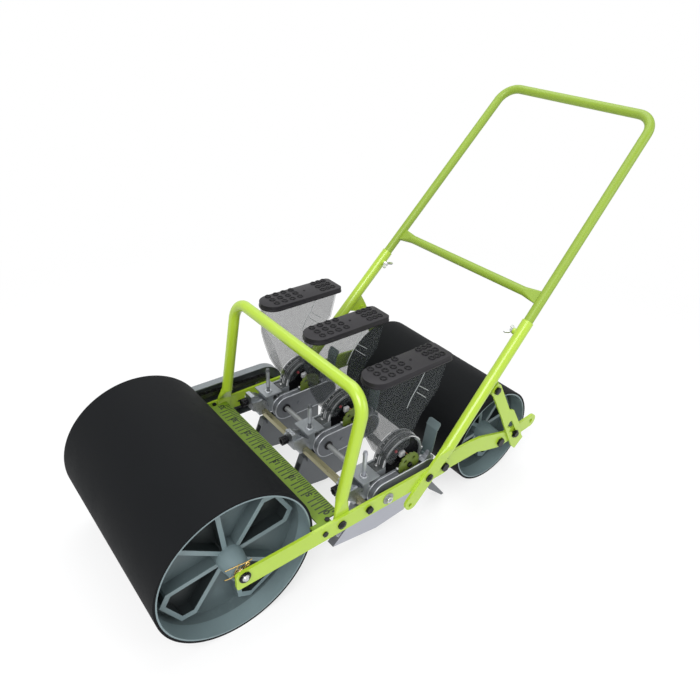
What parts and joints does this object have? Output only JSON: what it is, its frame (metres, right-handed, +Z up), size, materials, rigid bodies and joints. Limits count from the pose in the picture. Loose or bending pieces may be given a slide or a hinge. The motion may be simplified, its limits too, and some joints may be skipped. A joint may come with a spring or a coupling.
{
  "type": "walk-behind seed planter",
  "caption": "Walk-behind seed planter: front press roller driving seed units on a tool bar, clear hoppers, openers, rear press roller on tilting arms, and a tube handle.",
  "frame": {"origin": "centre of the base of the bounding box, on the floor", "axes": "+Z up, +Y to the rear where the user walks, +X across the machine to the side away from the chain cover"},
  "size_m": [0.4368, 1.0482, 0.7093],
  "materials": {
    "lime_paint": "gloss",
    "ruler_paint": "satin",
    "rubber": "matt",
    "drum_plastic": "satin",
    "sheet": "satin",
    "zinc": "satin",
    "steel": "satin",
    "black_steel": "satin",
    "brass": "satin",
    "clear": "clear",
    "lid_plastic": "satin",
    "black_plastic": "satin",
    "shoe_sheet": "satin",
    "olive_zinc": "satin",
    "grey_cast": "cast",
    "lever_plastic": "satin"
  },
  "bodies": {
    "frame": {"side_bar_near": "lime_paint", "side_bar_far": "lime_paint", "ruler_bar": "ruler_paint", "carry_hoop": "lime_paint", "tool_bar": "zinc", "frame_bolts": "black_steel", "bushes": "steel", "chain_cover": "sheet", "drive_chain": "steel", "handle_leg_near": "lime_paint", "handle_leg_far": "lime_paint"},
    "shaft": {"drive_shaft": "zinc", "shaft_sprocket": "steel"},
    "front_roller": {"front_sleeve": "rubber", "front_drum": "drum_plastic", "front_axle": "steel", "front_sprocket": "steel", "split_pins": "brass"},
    "rear_frame": {"rear_arms": "lime_paint", "rear_axle": "black_steel"},
    "rear_roller": {"rear_sleeve": "rubber", "rear_drum": "drum_plastic"},
    "notch_near": {"notch_plate_near": "lime_paint"},
    "notch_far": {"notch_plate_far": "lime_paint"},
    "handle": {"upper_handle": "lime_paint"},
    "screw_near": {"wing_screw_near": "steel"},
    "screw_far": {"wing_screw_far": "steel"},
    "unit_1": {"unit_body_1": "grey_cast", "chain_guard_1": "sheet", "clamp_1": "steel", "hopper_1": "clear"},
    "knob_1": {"clamp_knob_1": "black_plastic"},
    "cap_1": {"lid_1": "lid_plastic"},
    "seed_1": {"seed_roller_1": "black_plastic", "drive_sprocket_1": "olive_zinc"},
    "latch_1": {"latch_lever_1": "lever_plastic"},
    "shoe_1": {"opener_1": "shoe_sheet"},
    "drag_1": {"cover_drag_1": "steel"},
    "unit_2": {"unit_body_2": "grey_cast", "chain_guard_2": "sheet", "clamp_2": "steel", "hopper_2": "clear"},
    "knob_2": {"clamp_knob_2": "black_plastic"},
    "cap_2": {"lid_2": "lid_plastic"},
    "seed_2": {"seed_roller_2": "black_plastic", "drive_sprocket_2": "olive_zinc"},
    "latch_2": {"latch_lever_2": "lever_plastic"},
    "shoe_2": {"opener_2": "shoe_sheet"},
    "drag_2": {"cover_drag_2": "steel"},
    "unit_3": {"unit_body_3": "grey_cast", "chain_guard_3": "sheet", "clamp_3": "steel", "hopper_3": "clear"},
    "knob_3": {"clamp_knob_3": "black_plastic"},
    "cap_3": {"lid_3": "lid_plastic"},
    "seed_3": {"seed_roller_3": "black_plastic", "drive_sprocket_3": "olive_zinc"},
    "latch_3": {"latch_lever_3": "lever_plastic"},
    "shoe_3": {"opener_3": "shoe_sheet"},
    "drag_3": {"cover_drag_3": "steel"}
  },
  "joints": [
    {"name": "front_spin", "type": "hinge", "parent": "frame", "child": "front_roller", "pos_m": [0.00361, -0.38913, 0.135], "axis": [1, 0, 0], "continuous": true},
    {"name": "shaft_spin", "type": "hinge", "parent": "frame", "child": "shaft", "pos_m": [0.00361, -0.10613, 0.13], "axis": [1, 0, 0], "continuous": true},
    {"name": "rear_tilt", "type": "hinge", "parent": "frame", "child": "rear_frame", "pos_m": [0.00361, 0.03287, 0.13], "axis": [1, 0, 0], "range_deg": [0, 14]},
    {"name": "rear_spin", "type": "hinge", "parent": "rear_frame", "child": "rear_roller", "pos_m": [0.00361, 0.20437, 0.1027], "axis": [1, 0, 0], "continuous": true},
    {"name": "notch_near_swing", "type": "hinge", "parent": "frame", "child": "notch_near", "pos_m": [0.20261, 0.15091, 0.25398], "axis": [1, 0, 0], "range_deg": [0, 12]},
    {"name": "notch_far_swing", "type": "hinge", "parent": "frame", "child": "notch_far", "pos_m": [-0.1954, 0.15091, 0.25398], "axis": [1, 0, 0], "range_deg": [0, 12]},
    {"name": "handle_height", "type": "slide", "parent": "frame", "child": "handle", "axis": [0, 0.6782, 0.7349], "range_m": [0, 0.04]},
    {"name": "screw_near_turn", "type": "hinge", "parent": "frame", "child": "screw_near", "pos_m": [0.19718, 0.19756, 0.35615], "axis": [0.9991, 0.0285, 0.0309], "continuous": true},
    {"name": "screw_far_turn", "type": "hinge", "parent": "frame", "child": "screw_far", "pos_m": [-0.18997, 0.19756, 0.35615], "axis": [-0.9991, 0.0285, 0.0309], "continuous": true},
    {"name": "unit_1_shift", "type": "slide", "parent": "frame", "child": "unit_1", "axis": [1, 0, 0], "range_m": [-0.015, 0.035]},
    {"name": "knob_1_turn", "type": "hinge", "parent": "unit_1", "child": "knob_1", "pos_m": [-0.14739, -0.18213, 0.154], "axis": [0, 1, 0], "continuous": true},
    {"name": "lid_1_lift", "type": "slide", "parent": "unit_1", "child": "cap_1", "axis": [0, 0, 1], "range_m": [0, 0.06]},
    {"name": "seed_1_spin", "type": "hinge", "parent": "unit_1", "child": "seed_1", "pos_m": [-0.14239, -0.04113, 0.16], "axis": [1, 0, 0], "continuous": true},
    {"name": "latch_1_fold", "type": "hinge", "parent": "unit_1", "child": "latch_1", "pos_m": [-0.14239, 0.02687, 0.131], "axis": [-1, 0, 0], "range_deg": [0, 35]},
    {"name": "shoe_1_depth", "type": "slide", "parent": "unit_1", "child": "shoe_1", "axis": [0, 0, 1], "range_m": [-0.01, 0.02]},
    {"name": "drag_1_lift", "type": "hinge", "parent": "unit_1", "child": "drag_1", "pos_m": [-0.14239, 0.00887, 0.099], "axis": [1, 0, 0], "range_deg": [0, 20]},
    {"name": "unit_2_shift", "type": "slide", "parent": "frame", "child": "unit_2", "axis": [1, 0, 0], "range_m": [-0.035, 0.045]},
    {"name": "knob_2_turn", "type": "hinge", "parent": "unit_2", "child": "knob_2", "pos_m": [-0.0034, -0.18213, 0.154], "axis": [0, 1, 0], "continuous": true},
    {"name": "lid_2_lift", "type": "slide", "parent": "unit_2", "child": "cap_2", "axis": [0, 0, 1], "range_m": [0, 0.06]},
    {"name": "seed_2_spin", "type": "hinge", "parent": "unit_2", "child": "seed_2", "pos_m": [0.00161, -0.04113, 0.16], "axis": [1, 0, 0], "continuous": true},
    {"name": "latch_2_fold", "type": "hinge", "parent": "unit_2", "child": "latch_2", "pos_m": [0.00161, 0.02687, 0.131], "axis": [-1, 0, 0], "range_deg": [0, 35]},
    {"name": "shoe_2_depth", "type": "slide", "parent": "unit_2", "child": "shoe_2", "axis": [0, 0, 1], "range_m": [-0.01, 0.02]},
    {"name": "drag_2_lift", "type": "hinge", "parent": "unit_2", "child": "drag_2", "pos_m": [0.00161, 0.00887, 0.099], "axis": [1, 0, 0], "range_deg": [0, 20]},
    {"name": "unit_3_shift", "type": "slide", "parent": "frame", "child": "unit_3", "axis": [1, 0, 0], "range_m": [-0.05, 0]},
    {"name": "knob_3_turn", "type": "hinge", "parent": "unit_3", "child": "knob_3", "pos_m": [0.1566, -0.18213, 0.154], "axis": [0, 1, 0], "continuous": true},
    {"name": "lid_3_lift", "type": "slide", "parent": "unit_3", "child": "cap_3", "axis": [0, 0, 1], "range_m": [0, 0.06]},
    {"name": "seed_3_spin", "type": "hinge", "parent": "unit_3", "child": "seed_3", "pos_m": [0.1616, -0.04113, 0.16], "axis": [1, 0, 0], "continuous": true},
    {"name": "latch_3_fold", "type": "hinge", "parent": "unit_3", "child": "latch_3", "pos_m": [0.1616, 0.02687, 0.131], "axis": [-1, 0, 0], "range_deg": [0, 35]},
    {"name": "shoe_3_depth", "type": "slide", "parent": "unit_3", "child": "shoe_3", "axis": [0, 0, 1], "range_m": [-0.01, 0.02]},
    {"name": "drag_3_lift", "type": "hinge", "parent": "unit_3", "child": "drag_3", "pos_m": [0.1616, 0.00887, 0.099], "axis": [1, 0, 0], "range_deg": [0, 20]}
  ],
  "couplings": [
    {"joint": "shaft_spin", "follows": "front_spin", "ratio": 1.3333},
    {"joint": "seed_1_spin", "follows": "front_spin", "ratio": 1.0667},
    {"joint": "seed_2_spin", "follows": "front_spin", "ratio": 1.0667},
    {"joint": "seed_3_spin", "follows": "front_spin", "ratio": 1.0667},
    {"joint": "notch_near_swing", "follows": "rear_tilt", "ratio": 0.853},
    {"joint": "notch_far_swing", "follows": "rear_tilt", "ratio": 0.853}
  ]
}
